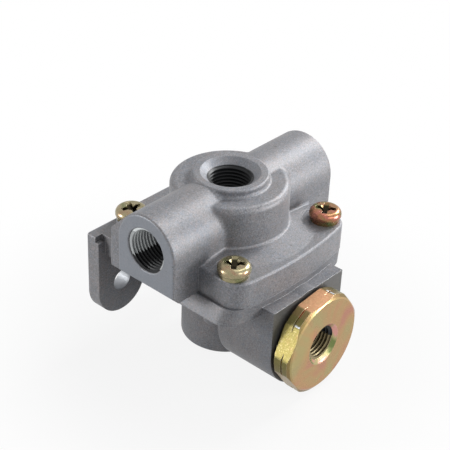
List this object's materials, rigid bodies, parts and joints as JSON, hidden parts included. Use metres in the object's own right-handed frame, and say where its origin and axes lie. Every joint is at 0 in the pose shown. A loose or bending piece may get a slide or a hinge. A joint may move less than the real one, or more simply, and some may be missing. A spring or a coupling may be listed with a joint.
{
  "type": "quick exhaust valve",
  "caption": "Quick exhaust valve of two castings: delivery ports in line, a supply port on top, a cap nut with a side port, an open exhaust below and a pair of mounting ears.",
  "frame": {"origin": "in the mounting face, midway between the two ear holes", "axes": "+X along the delivery ports, +Y out of the mounting face away from the valve, +Z out of the supply port"},
  "size_m": [0.087, 0.0804, 0.0724],
  "materials": {
    "upper_casting": "satin, shot-blasted casting",
    "lower_casting": "satin, shot-blasted casting",
    "seal_rubber": "matte",
    "diaphragm_rubber": "matte",
    "guide_plastic": "matte",
    "spring_steel": "bright drawn",
    "retainer_brass": "turned",
    "nut_zinc": "yellow passivated zinc plating",
    "screw_zinc": "yellow passivated zinc plating",
    "washer_zinc": "yellow passivated zinc plating"
  },
  "bodies": {
    "housing": {"upper_body": "upper_casting", "lower_body": "lower_casting", "body_seal": "seal_rubber", "spring_retainer": "retainer_brass", "retaining_ring": "spring_steel", "diaphragm_spring": "spring_steel", "cap_nut": "nut_zinc", "cap_nut_seal": "seal_rubber", "check_seat": "retainer_brass", "cover_screw_1": "screw_zinc", "cover_screw_2": "screw_zinc", "cover_screw_3": "screw_zinc", "cover_screw_4": "screw_zinc", "lock_washer_1": "washer_zinc", "lock_washer_2": "washer_zinc", "lock_washer_3": "washer_zinc", "lock_washer_4": "washer_zinc"},
    "diaphragm_unit": {"diaphragm": "diaphragm_rubber", "diaphragm_guide": "guide_plastic"},
    "shuttle": {"check_shuttle": "diaphragm_rubber"}
  },
  "joints": [
    {"name": "diaphragm_stroke", "type": "slide", "parent": "housing", "child": "diaphragm_unit", "axis": [0, 0, -1], "range_m": [0, 0.0018], "stiffness_N_per_m": 120, "springref_m": -0.01, "deforming": ["diaphragm_spring"]},
    {"name": "shuttle_stroke", "type": "slide", "parent": "housing", "child": "shuttle", "axis": [0, -1, 0], "range_m": [0, 0.003]}
  ]
}
